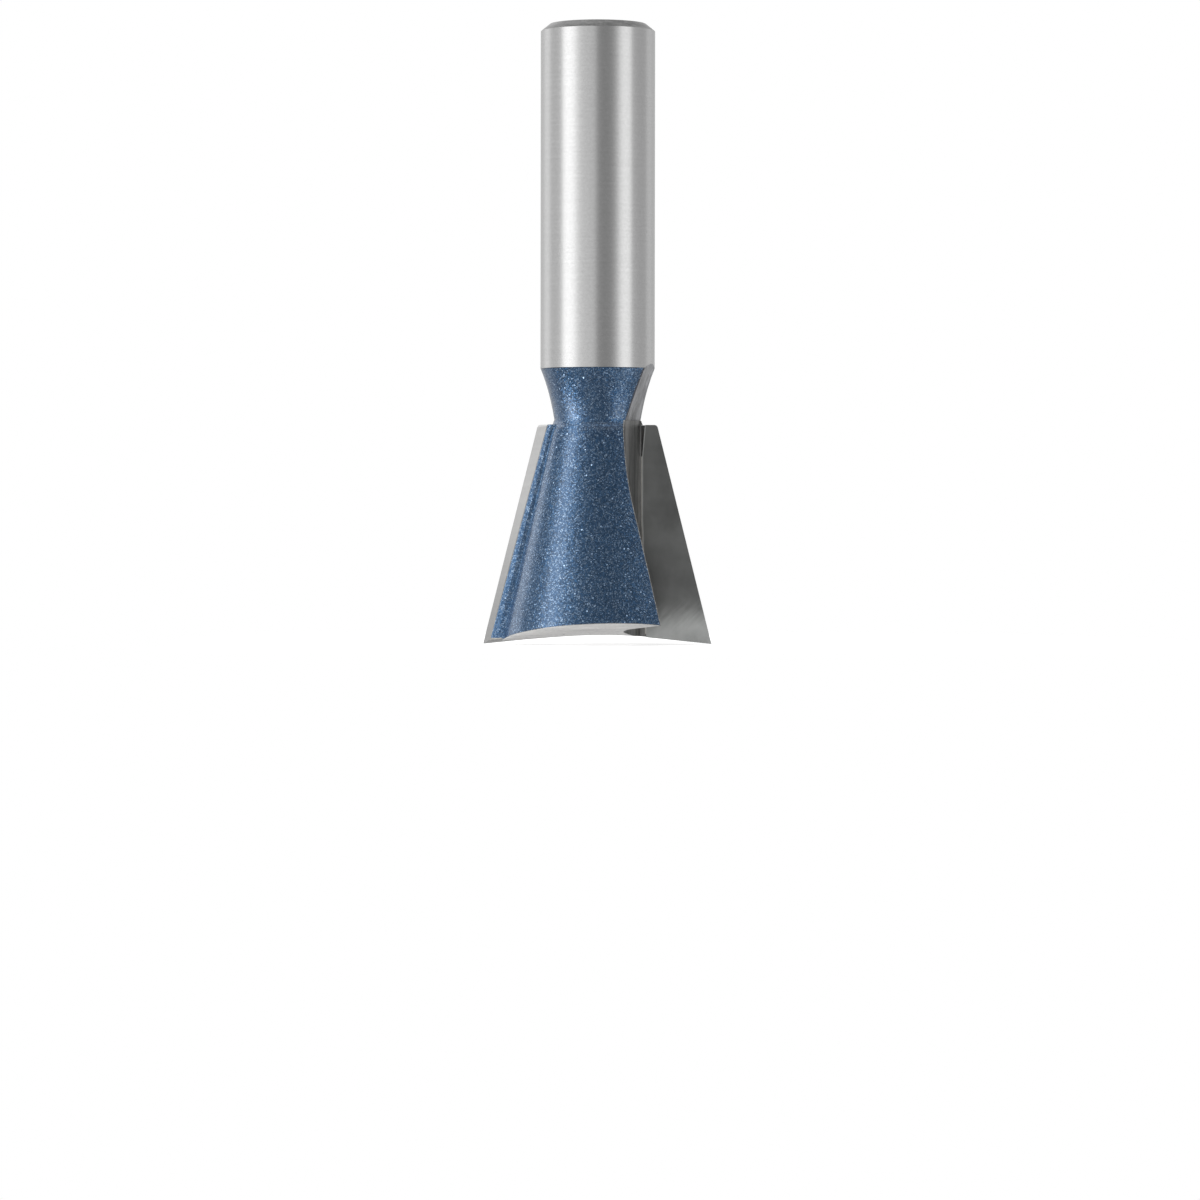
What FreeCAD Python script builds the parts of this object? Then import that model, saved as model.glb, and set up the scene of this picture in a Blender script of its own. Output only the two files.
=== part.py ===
"""Two-flute dovetail cutter with brazed carbide tips on a long shank, in millimetres.

The axis of rotation is Z, the shank points up and the cutting end is down. The origin lies on the
axis, in the plane of the two tip corners. The right-hand wing reaches along +X, its rake face lies in
the plane y = 0 and looks towards -Y, and the left-hand wing is the same turned by half a turn.
"""
import FreeCAD, Part
import enum
import math
import os
import Sketcher

Vector = FreeCAD.Vector

# Driving dimensions: name, value in millimetres or degrees, meaning
SIZES = [
    ("overall_length", 68.8, "tip corners to the end of the shank"),
    ("shank_diameter", 12.7, "ground shank that a half-inch collet grips"),
    ("shank_chamfer", 1.0, "width of the chamfer at the end of the shank"),
    ("chamfer_height", 0.8, "height of that chamfer"),
    ("neck_length", 6.25, "from the top of the tips to the shank"),
    ("neck_hollow", 22.0, "radius that the neck is turned to"),
    ("cutting_diameter", 25.4, "across the two tip corners"),
    ("dovetail_angle", 14.0, "side cutting edge against the axis"),
    ("cutting_height", 24.35, "height of the tips and of the wings behind them"),
    ("dish_angle", 5.8, "end cutting edge against the level plane"),
    ("shoulder_step", 0.61, "how far the lobes stand out from the thinnest place of the neck"),
    ("shoulder_rise", 0.6, "thinnest place of the neck above the tips"),
    ("shoulder_drop", 0.8, "start of the lobes' cone below the top of the tips"),
    ("shoulder_share", 0.42, "share of the shoulder that its upper, hollow half takes"),
    ("lobe_clearance_top", 1.36, "lobe inside the cutting edge, at the top of its cone"),
    ("lobe_clearance_bottom", 1.95, "lobe inside the cutting edge, at its bottom"),
    ("web_end_diameter", 6.0, "flat middle of the cutting end"),
    ("end_step", 0.05, "steel end set back from the end cutting edges"),
    ("tip_thickness", 1.6, "carbide tip, from rake face to back"),
    ("tip_corner_radius", 0.4, "outer top corner of the tip on its rake face"),
    ("tip_back_corner_radius", 0.2, "outer top corner of the tip on its back"),
    ("side_relief_top", 1.05, "fall of the flank over the tip's thickness, at the top"),
    ("side_relief_bottom", 0.65, "fall of the flank over the tip's thickness, at the bottom"),
    ("end_clearance", 0.4, "rise of the tip's end over its thickness"),
    ("braze_thickness", 0.1, "filler between the tip and its seat"),
    ("seat_width", 1.764, "seat from its wall to the side cutting edge, at the top"),
    ("seat_lip", 0.12, "steel left between the gullet and the seat"),
    ("notch_width", 0.3, "open notch between the seat and the top of the tip"),
    ("notch_depth", 3.5, "depth of that notch below the top of the tip"),
    ("root_flare", 0.5, "how far the tip's inner edge leans out at the bottom"),
    ("root_flare_height", 14.0, "where the inner edge starts to lean out"),
    ("wing_thickness", 0.5, "steel behind the seat that stands out of the lobe"),
    ("wing_set_back", 0.06, "wing's edge behind the flank of the tip"),
    ("wing_round_top", 0.4, "how far the wing's rounded edge falls back, at the top"),
    ("wing_round_bottom", 0.66, "how far the wing's rounded edge falls back, at the bottom"),
    ("wing_end_height", 0.7, "underside of the wing above the tip corners"),
    ("wing_root", 2.5, "how deep the wing is rooted in the lobe"),
    ("gullet_angle", 25.0, "turn of the gullet's floor away from square to the rake face"),
    ("gullet_wall", 3.95, "gullet wall from the axis"),
    ("gullet_corner", 2.0, "radius between the gullet's floor and wall"),
    ("gullet_top", 0.45, "start of the gullet's run-out above the tips"),
    ("runout_angle", 20.0, "turn of the run-out away from square to the rake face"),
    ("runout_depth", 0.64, "run-out below the surface of the neck where it starts"),
    ("runout_radius", 40.0, "radius that the run-out climbs on"),
    ("runout_start_slope", 14.0, "run-out against the axis where it starts"),
    ("runout_end_slope", 28.0, "run-out against the axis where it leaves the shank"),
    ("end_relief_angle", 10.75, "relieved end of a lobe against the level plane"),
    ("end_relief_lean", 2.1, "lean of that end down towards the tip"),
    ("end_relief_height", 0.48, "height at which that end's plane meets the axis"),
    ("end_relief_start", 0.4, "distance from the rake plane to the start of that end"),
]

# Rounded edge of the wing: shares of its thickness, each with its share of the fall
WING_ROUND = [("WingFront", 0.0, 0.0), ("WingEdge", 0.45, 0.18), ("WingBend", 0.82, 0.52), ("WingBack", 1.0, 1.0)]

# Cuts overrun the steel by this much, in millimetres
OVERRUN = 3.0

doc = FreeCAD.newDocument("DovetailCutter")
sheet = doc.addObject("Spreadsheet::Sheet", "Sizes")


class Point(enum.IntEnum):
    """Points of a line or an arc, numbered as the sketcher does."""

    START = enum.auto()
    END = enum.auto()


class Axis(enum.IntEnum):
    """A sketch's own axes, numbered as the sketcher does."""

    HORIZONTAL = -1
    VERTICAL = -2


class Size:
    """A length or an angle: its present value, and the expression that keeps it tied to the sheet."""

    def __init__(self, value, text):
        self.value = float(value)
        self.text = text

    def __add__(self, other):
        other = as_size(other)
        return Size(self.value + other.value, f"({self.text} + {other.text})")

    def __sub__(self, other):
        other = as_size(other)
        return Size(self.value - other.value, f"({self.text} - {other.text})")

    def __mul__(self, other):
        other = as_size(other)
        return Size(self.value * other.value, f"({self.text} * {other.text})")

    def __truediv__(self, other):
        other = as_size(other)
        return Size(self.value / other.value, f"({self.text} / {other.text})")

    def __neg__(self):
        return Size(-self.value, f"(0 - {self.text})")


def as_size(number):
    """A Size as it is, or a plain number made into one."""
    return number if isinstance(number, Size) else Size(number, f"({number})")


def size(name):
    """Driving dimension from the sheet."""
    return Size(sheet.get(name), f"Sizes.{name}")


def sin_of(angle):
    return Size(math.sin(math.radians(angle.value)), f"sin({angle.text})")


def cos_of(angle):
    return Size(math.cos(math.radians(angle.value)), f"cos({angle.text})")


def tan_of(angle):
    return Size(math.tan(math.radians(angle.value)), f"tan({angle.text})")


def angle_of(opposite, adjacent):
    ratio = opposite / adjacent
    return Size(math.degrees(math.atan(ratio.value)), f"atan({ratio.text})")


def fill_sheet():
    """One row for each driving dimension: what it means and its value."""
    for row, (name, value, meaning) in enumerate(SIZES, start=1):
        sheet.set(f"A{row}", meaning)
        sheet.set(f"B{row}", str(value))
        sheet.setAlias(f"B{row}", name)
    doc.recompute()


def new_body(label):
    """Body whose label names its node."""
    body = doc.addObject("PartDesign::Body", label)
    body.Label = label
    return body


def origin_feature(body, role):
    """One of the body's own origin planes or axes."""
    return next(f for f in body.Origin.OriginFeatures if f.Role == role)


def new_sketch(body, name, plane, offset=None, turn_axis=None, turn=None):
    """Sketch on one of the body's origin planes, moved along its normal and turned about an axis."""
    sketch = body.newObject("Sketcher::SketchObject", name)
    sketch.AttachmentSupport = [(origin_feature(body, plane), "")]
    sketch.MapMode = "FlatFace"
    rotation = FreeCAD.Rotation()
    if turn is not None:
        rotation = FreeCAD.Rotation(turn_axis, turn.value)
    lift = 0.0 if offset is None else offset.value
    sketch.AttachmentOffset = FreeCAD.Placement(Vector(0, 0, lift), rotation)
    if offset is not None:
        sketch.setExpression("AttachmentOffset.Base.z", offset.text)
    if turn is not None:
        sketch.setExpression("AttachmentOffset.Rotation.Angle", turn.text)
    return sketch


def place_point(sketch, geometry, position, corner, name):
    """Dimension one end of a line or an arc from the sketch's origin."""
    for axis, kind, length, on_axis in (
        ("x", "DistanceX", corner[0], Axis.VERTICAL),
        ("y", "DistanceY", corner[1], Axis.HORIZONTAL),
    ):
        if length == 0:
            sketch.addConstraint(Sketcher.Constraint("PointOnObject", geometry, position, on_axis))
            continue
        index = sketch.addConstraint(
            Sketcher.Constraint(kind, Axis.HORIZONTAL, Point.START, geometry, position, as_size(length).value)
        )
        sketch.renameConstraint(index, f"{name}_{axis}")
        sketch.setExpression(f"Constraints.{name}_{axis}", as_size(length).text)


def arc_between(start, end, radius, clockwise):
    """Minor arc from start to end, always handed over in its anticlockwise sense."""
    chord = end.sub(start)
    side = 1 if clockwise else -1
    across = Vector(-chord.y, chord.x, 0).normalize() * side
    depth = math.sqrt(max(radius ** 2 - (chord.Length / 2) ** 2, 0))
    middle = (start + end) * 0.5 + across * (radius - depth)
    return Part.Arc(end, middle, start) if clockwise else Part.Arc(start, middle, end)


def outline(sketch, corners, arcs=None):
    """Closed outline through named corners, each dimensioned from the origin.

    corners holds (name, x, y). arcs gives, for the name of the corner where an arc starts, its
    radius and whether it runs clockwise to the next corner.
    """
    arcs = arcs or {}
    points = [Vector(as_size(x).value, as_size(y).value, 0) for _, x, y in corners]
    count = len(corners)
    starts, ends = [], []
    for index, (name, _, _) in enumerate(corners):
        start, end = points[index], points[(index + 1) % count]
        if name not in arcs:
            sketch.addGeometry(Part.LineSegment(start, end), False)
            starts.append(Point.START)
            ends.append(Point.END)
            continue
        radius, clockwise = arcs[name]
        sketch.addGeometry(arc_between(start, end, radius.value, clockwise), False)
        starts.append(Point.END if clockwise else Point.START)
        ends.append(Point.START if clockwise else Point.END)
        radius_index = sketch.addConstraint(Sketcher.Constraint("Radius", index, radius.value))
        sketch.renameConstraint(radius_index, f"{name}_radius")
        sketch.setExpression(f"Constraints.{name}_radius", radius.text)
    for index in range(count):
        following = (index + 1) % count
        sketch.addConstraint(
            Sketcher.Constraint("Coincident", index, ends[index], following, starts[following])
        )
    for index, (name, x, y) in enumerate(corners):
        place_point(sketch, index, starts[index], (x, y), name)


def loft(body, name, first, others):
    """Straight-sided loft through outlines of as many corners."""
    feature = body.newObject("PartDesign::AdditiveLoft", name)
    feature.Profile = first
    feature.Sections = others
    feature.Ruled = True
    return feature


def pad(body, name, sketch, length, reverse):
    """Pad by a bound length."""
    feature = body.newObject("PartDesign::Pad", name)
    feature.Profile = sketch
    feature.Length = length.value
    feature.setExpression("Length", length.text)
    feature.Reversed = reverse
    return feature


def pocket(body, name, sketch, length=None, reverse=False):
    """Pocket by a bound length, or through everything on both sides when there is none."""
    feature = body.newObject("PartDesign::Pocket", name)
    feature.Profile = sketch
    feature.Reversed = reverse
    if length is None:
        feature.Type = "ThroughAll"
        feature.SideType = "Symmetric"
    else:
        feature.Length = length.value
        feature.setExpression("Length", length.text)
    return feature


fill_sheet()

# Shared places, each worked out from the sheet
SHANK_RADIUS = size("shank_diameter") / 2
CUT_RADIUS = size("cutting_diameter") / 2
CUT_HEIGHT = size("cutting_height")
SIDE_SLOPE = tan_of(size("dovetail_angle"))
DISH_SLOPE = tan_of(size("dish_angle"))
TIP_TOP_RADIUS = CUT_RADIUS - CUT_HEIGHT * SIDE_SLOPE
LOBE_TOP = CUT_HEIGHT - size("shoulder_drop")
LOBE_TOP_RADIUS = CUT_RADIUS - LOBE_TOP * SIDE_SLOPE - size("lobe_clearance_top")
LOBE_BOTTOM_RADIUS = CUT_RADIUS - size("lobe_clearance_bottom")
NECK_RADIUS = LOBE_TOP_RADIUS - size("shoulder_step")
SEAT_WALL = TIP_TOP_RADIUS - size("seat_width")
GULLET_FLOOR = (SEAT_WALL - size("seat_lip")) * cos_of(size("gullet_angle"))
GULLET_HEIGHT = CUT_HEIGHT + size("gullet_top")
TIP_ROOT = SEAT_WALL + size("braze_thickness")
SEAT_DEPTH = size("tip_thickness") + size("braze_thickness")
NOTCH_BOTTOM = CUT_HEIGHT - size("notch_depth")
PAST = CUT_RADIUS + OVERRUN
BELOW = as_size(0) - OVERRUN


def end_edge(radius):
    """Height of the end cutting edge at a distance from the axis."""
    return DISH_SLOPE * (CUT_RADIUS - radius)


def flared(base, height):
    """Place of the tip's inner edge, or of its seat's wall, where it leans out below the knee."""
    return base + size("root_flare") - size("root_flare") * height / size("root_flare_height")


def tangent_radius(across, along):
    """Radius of the arc that starts along the axis and ends that far across and along."""
    return (across * across + along * along) / (across * 2)


def turned_blank(body):
    """Shank, chamfer, neck and the cone of the lobes, turned as one piece."""
    waist = CUT_HEIGHT + size("shoulder_rise")
    web_radius = size("web_end_diameter") / 2
    web_end = end_edge(web_radius) + size("end_step")
    lobe_end = end_edge(LOBE_BOTTOM_RADIUS) + size("end_step")
    lean = angle_of(LOBE_BOTTOM_RADIUS - LOBE_TOP_RADIUS, LOBE_TOP - lobe_end)
    half_drop = (waist - LOBE_TOP) / 2
    hollow = size("shoulder_step") * size("shoulder_share")
    swell = size("shoulder_step") - hollow
    round_over = swell * cos_of(lean) - half_drop * sin_of(lean)
    shoulder_arc = (swell * swell + half_drop * half_drop) / (round_over * 2)
    sketch = new_sketch(body, "TurnedProfile", "XZ_Plane")
    corners = [
        ("web_centre", 0, web_end),
        ("web_rim", web_radius, web_end),
        ("lobe_bottom", LOBE_BOTTOM_RADIUS, lobe_end),
        ("lobe_top", LOBE_TOP_RADIUS, LOBE_TOP),
        ("shoulder", NECK_RADIUS + hollow, LOBE_TOP + half_drop),
        ("neck", NECK_RADIUS, waist),
        ("shank_bottom", SHANK_RADIUS, CUT_HEIGHT + size("neck_length")),
        ("chamfer_bottom", SHANK_RADIUS, size("overall_length") - size("chamfer_height")),
        ("chamfer_top", SHANK_RADIUS - size("shank_chamfer"), size("overall_length")),
        ("shank_centre", 0, size("overall_length")),
    ]
    arcs = {
        "lobe_top": (shoulder_arc, False),
        "shoulder": (tangent_radius(hollow, half_drop), True),
        "neck": (size("neck_hollow"), True),
    }
    outline(sketch, corners, arcs)
    blank = body.newObject("PartDesign::Revolution", "TurnedBlank")
    blank.Profile = sketch
    blank.ReferenceAxis = (sketch, ["V_Axis"])
    blank.Angle = 360
    return blank


def wing(body):
    """Steel plate behind the seat, which stands out of the lobe as far as the tip needs it."""
    bottom = size("wing_end_height")
    edge_bottom = CUT_RADIUS - size("side_relief_bottom") - size("wing_set_back") - bottom * SIDE_SLOPE
    edge_top = TIP_TOP_RADIUS - size("side_relief_top") - size("wing_set_back")
    sketches = []
    for name, depth_share, fall_share in WING_ROUND:
        depth = SEAT_DEPTH + size("wing_thickness") * depth_share
        sketch = new_sketch(body, name, "XZ_Plane", offset=-depth)
        corners = [
            ("root_bottom", LOBE_BOTTOM_RADIUS - size("wing_root"), bottom),
            ("edge_bottom", edge_bottom - size("wing_round_bottom") * fall_share, bottom),
            ("edge_top", edge_top - size("wing_round_top") * fall_share, CUT_HEIGHT),
            ("root_top", LOBE_TOP_RADIUS - size("wing_root"), CUT_HEIGHT),
        ]
        outline(sketch, corners)
        sketches.append(sketch)
    return loft(body, "Wing", sketches[0], sketches[1:])


def end_relief(body):
    """Slanted end of the lobe behind the tip, which rises away from the end cutting edge."""
    slope = tan_of(size("end_relief_angle"))
    begin = size("end_relief_start")
    sketch = new_sketch(
        body, "EndReliefProfile", "YZ_Plane", turn_axis=Vector(1, 0, 0), turn=size("end_relief_lean")
    )
    corners = [
        ("begin_low", begin, BELOW),
        ("begin", begin, size("end_relief_height") + begin * slope),
        ("finish", PAST, size("end_relief_height") + PAST * slope),
        ("finish_low", PAST, BELOW),
    ]
    outline(sketch, corners)
    return pocket(body, "EndRelief", sketch)


def seat(body):
    """Milled seat for the tip and its braze, open to the rake side, the edge and the end."""
    sketch = new_sketch(body, "SeatOutline", "XZ_Plane")
    corners = [
        ("wall_bottom", flared(SEAT_WALL, BELOW), BELOW),
        ("edge_bottom", PAST, BELOW),
        ("edge_top", PAST, CUT_HEIGHT),
        ("wall_top", SEAT_WALL, CUT_HEIGHT),
        ("wall_knee", SEAT_WALL, size("root_flare_height")),
    ]
    outline(sketch, corners)
    return pocket(body, "Seat", sketch, SEAT_DEPTH)


def gullet(body):
    """Gullet in front of the tip: a flat floor, a wall square to it and a corner radius between."""
    floor, wall, corner = GULLET_FLOOR, size("gullet_wall"), size("gullet_corner")
    rake = tan_of(size("gullet_angle"))
    turn = -size("gullet_angle")
    sketch = new_sketch(
        body, "GulletSection", "XY_Plane", offset=GULLET_HEIGHT, turn_axis=Vector(0, 0, 1), turn=turn
    )
    corners = [
        ("rake_root", floor, floor * rake),
        ("floor_end", floor, corner - wall),
        ("wall_start", floor + corner, -wall),
        ("wall_end", PAST, -wall),
        ("rake_end", PAST, PAST * rake),
    ]
    outline(sketch, corners, {"floor_end": (corner, False)})
    return pocket(body, "Gullet", sketch, GULLET_HEIGHT + OVERRUN)


def runout(body):
    """Run-out where the gullet's floor climbs through the neck and leaves the shank."""
    radius, floor = size("runout_radius"), NECK_RADIUS - size("runout_depth")
    start, finish = size("runout_start_slope"), size("runout_end_slope")
    out = floor + radius * (cos_of(start) - cos_of(finish))
    rise = GULLET_HEIGHT + radius * (sin_of(finish) - sin_of(start))
    sketch = new_sketch(
        body, "RunoutProfile", "XZ_Plane", turn_axis=Vector(0, 1, 0), turn=-size("runout_angle")
    )
    corners = [
        ("runout_end", out, rise),
        ("runout_start", floor, GULLET_HEIGHT),
        ("outside_bottom", PAST, GULLET_HEIGHT),
        ("outside_top", PAST, rise),
    ]
    outline(sketch, corners, {"runout_end": (radius, False)})
    return pocket(body, "Runout", sketch)


def make_steel_body():
    """Turned blank with both wings, seats, gullets, run-outs and relieved ends."""
    body = new_body("steel_body")
    turned_blank(body)
    steps = [wing, end_relief, seat, gullet, runout]
    originals = []
    for step in steps:
        doc.recompute()
        before = body.Shape.Volume
        originals.append(step(body))
        doc.recompute()
        change = body.Shape.Volume - before
        if (step is wing) != (change > 0) or abs(change) < 1e-3:
            raise RuntimeError(f"{originals[-1].Name} changes the volume by {change:.3f} mm3")
    pattern = body.newObject("PartDesign::PolarPattern", "BothSides")
    pattern.Originals = originals
    pattern.Axis = (origin_feature(body, "Z_Axis"), [""])
    pattern.Angle = 360
    pattern.Occurrences = 2
    body.Tip = pattern
    return body


def tip_outline(body, name, depth, flank_bottom, flank_top, rise, radius):
    """Outline of the tip at one depth behind its rake face, with its outer top corner rounded."""
    root_low = end_edge(TIP_ROOT + size("root_flare")) + rise
    bottom = end_edge(flank_bottom + rise * SIDE_SLOPE) + rise
    lean = angle_of(flank_bottom - flank_top, CUT_HEIGHT - bottom)
    reach = radius * (as_size(1) - sin_of(lean)) / cos_of(lean)
    sketch = new_sketch(body, name, "XZ_Plane", offset=-depth)
    corners = [
        ("corner", flank_bottom, bottom),
        ("round_start", flank_top + reach * sin_of(lean), CUT_HEIGHT - reach * cos_of(lean)),
        ("round_end", flank_top - reach, CUT_HEIGHT),
        ("root_top", TIP_ROOT + size("notch_width"), CUT_HEIGHT),
        ("root_upper", TIP_ROOT, NOTCH_BOTTOM),
        ("root_lower", TIP_ROOT, size("root_flare_height")),
        ("root_bottom", flared(TIP_ROOT, root_low), root_low),
    ]
    outline(sketch, corners, {"round_start": (radius, False)})
    return sketch


def make_tip(label):
    """Carbide tip with its rake face in the plane y = 0, relieved at its flank and end."""
    body = new_body(label)
    depth, rise = size("tip_thickness"), size("end_clearance")
    flat = Size(0, "0")
    front_round, back_round = size("tip_corner_radius"), size("tip_back_corner_radius")
    rake = tip_outline(body, "RakeFace", flat, CUT_RADIUS, TIP_TOP_RADIUS, flat, front_round)
    back_bottom = CUT_RADIUS - size("side_relief_bottom") - rise * SIDE_SLOPE
    back_top = TIP_TOP_RADIUS - size("side_relief_top")
    back = tip_outline(body, "BackFace", depth, back_bottom, back_top, rise, back_round)
    body.Tip = loft(body, "Plate", rake, [back])
    return body


def make_braze(label):
    """Braze filler: a sheet under the tip's back and a leg along its inner edge."""
    body = new_body(label)
    rise, gap = size("end_clearance"), size("braze_thickness")
    back_bottom = CUT_RADIUS - size("side_relief_bottom") - rise * SIDE_SLOPE
    back_top = TIP_TOP_RADIUS - size("side_relief_top")
    leg_bottom = end_edge(TIP_ROOT + size("root_flare")) + rise
    sheet_sketch = new_sketch(body, "SheetOutline", "XZ_Plane", offset=-size("tip_thickness"))
    corners = [
        ("corner", back_bottom, end_edge(back_bottom + rise * SIDE_SLOPE) + rise),
        ("flank_top", back_top - size("wing_set_back"), CUT_HEIGHT - size("wing_set_back")),
        ("root_top", TIP_ROOT + size("notch_width"), CUT_HEIGHT - size("wing_set_back")),
        ("root_upper", TIP_ROOT, NOTCH_BOTTOM),
        ("wall_upper", SEAT_WALL, NOTCH_BOTTOM),
        ("wall_knee", SEAT_WALL, size("root_flare_height")),
        ("wall_bottom", flared(SEAT_WALL, leg_bottom), leg_bottom),
        ("root_bottom", flared(TIP_ROOT, leg_bottom), leg_bottom),
    ]
    outline(sheet_sketch, corners)
    pad(body, "Sheet", sheet_sketch, gap, reverse=True)
    leg_sketch = new_sketch(body, "LegOutline", "XZ_Plane")
    corners = [
        ("root_upper", TIP_ROOT, NOTCH_BOTTOM),
        ("wall_upper", SEAT_WALL, NOTCH_BOTTOM),
        ("wall_knee", SEAT_WALL, size("root_flare_height")),
        ("wall_bottom", flared(SEAT_WALL, leg_bottom), leg_bottom),
        ("root_bottom", flared(TIP_ROOT, leg_bottom), leg_bottom),
        ("root_lower", TIP_ROOT, size("root_flare_height")),
    ]
    outline(leg_sketch, corners)
    body.Tip = pad(body, "Leg", leg_sketch, size("tip_thickness"), reverse=True)
    return body


def turn_half(body):
    """Place a body on the opposite side of the axis."""
    body.Placement = FreeCAD.Placement(Vector(0, 0, 0), FreeCAD.Rotation(Vector(0, 0, 1), 180))


def check_document(bodies):
    """Stop when a feature has failed or a sub-part holds no valid single solid."""
    for item in doc.Objects:
        if "Invalid" in item.State or "Error" in item.State:
            raise RuntimeError(f"{item.Name} failed: {item.State}")
    for body in bodies:
        if body.Shape.isNull() or not body.Shape.isValid():
            raise RuntimeError(f"{body.Label} has no valid shape")
        if len(body.Shape.Solids) != 1:
            raise RuntimeError(f"{body.Label} has {len(body.Shape.Solids)} solids")


def main():
    """Build the five sub-parts and write one STEP file for each."""
    bodies = [make_steel_body()]
    for maker, name in ((make_tip, "carbide_tip"), (make_braze, "braze_layer")):
        bodies.append(maker(f"{name}_right"))
        opposite = maker(f"{name}_left")
        turn_half(opposite)
        bodies.append(opposite)
    doc.recompute()
    check_document(bodies)
    os.makedirs("parts", exist_ok=True)
    for body in bodies:
        body.Shape.exportStep(f"parts/{body.Label}.step")
        print(f"{body.Label}: {body.Shape.Volume:.2f} mm3")


main()
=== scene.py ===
"""Looks of the dovetail cutter: finishes for its solids, a pale studio around it and the camera."""
import logging
import math
from dataclasses import dataclass
from enum import Enum
from functools import cached_property, reduce
from typing import Callable

import bpy
from bpy.types import Material, Node, NodeSocket, NodeTree
from mathutils import Euler, Matrix, Vector

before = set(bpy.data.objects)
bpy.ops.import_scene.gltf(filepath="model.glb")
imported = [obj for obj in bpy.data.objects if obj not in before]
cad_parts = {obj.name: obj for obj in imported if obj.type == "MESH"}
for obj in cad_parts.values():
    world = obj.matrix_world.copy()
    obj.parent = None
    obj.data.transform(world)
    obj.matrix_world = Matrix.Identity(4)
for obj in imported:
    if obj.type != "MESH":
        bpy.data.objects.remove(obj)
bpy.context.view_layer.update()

MILLIMETRE = 0.001
MEAN = 0.5
LINE_CORE = 0.6
QUARTER_TURN = 90.0
FACE_REACH_MM = 0.05
EDGE_SLACK_MM = 0.01
TIP_TOP_MM = 24.0
DARK_SPECK = (0.02, 0.02, 0.02)
Value = float | tuple | NodeSocket
Sockets = dict[str, NodeSocket]
Colour = tuple[float, float, float]
Triple = tuple[float, float, float]
Pair = tuple[float, float]
log = logging.getLogger("dovetail_cutter")


class Zone(Enum):
    """Surfaces of the solids that are finished differently, by the names of their materials."""

    SHANK = "ground_shank"
    SHANK_END = "turned_end"
    PAINT = "flake_paint"
    GULLET = "milled_gullet"
    RUNOUT = "milled_runout"
    SEAT = "milled_seat"
    LOBE_END = "ground_lobe_end"
    RAKE = "lapped_rake_face"
    FLANK = "ground_flank"
    TIP_END = "ground_tip_end"
    BRAZE = "braze_filler"


class Effect(Enum):
    """Effects that several finishes share, by the names of their shader node groups."""

    FLAKES = "FlakeField"
    MARKS = "ToolMarks"
    SPECKS = "Specks"


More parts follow.
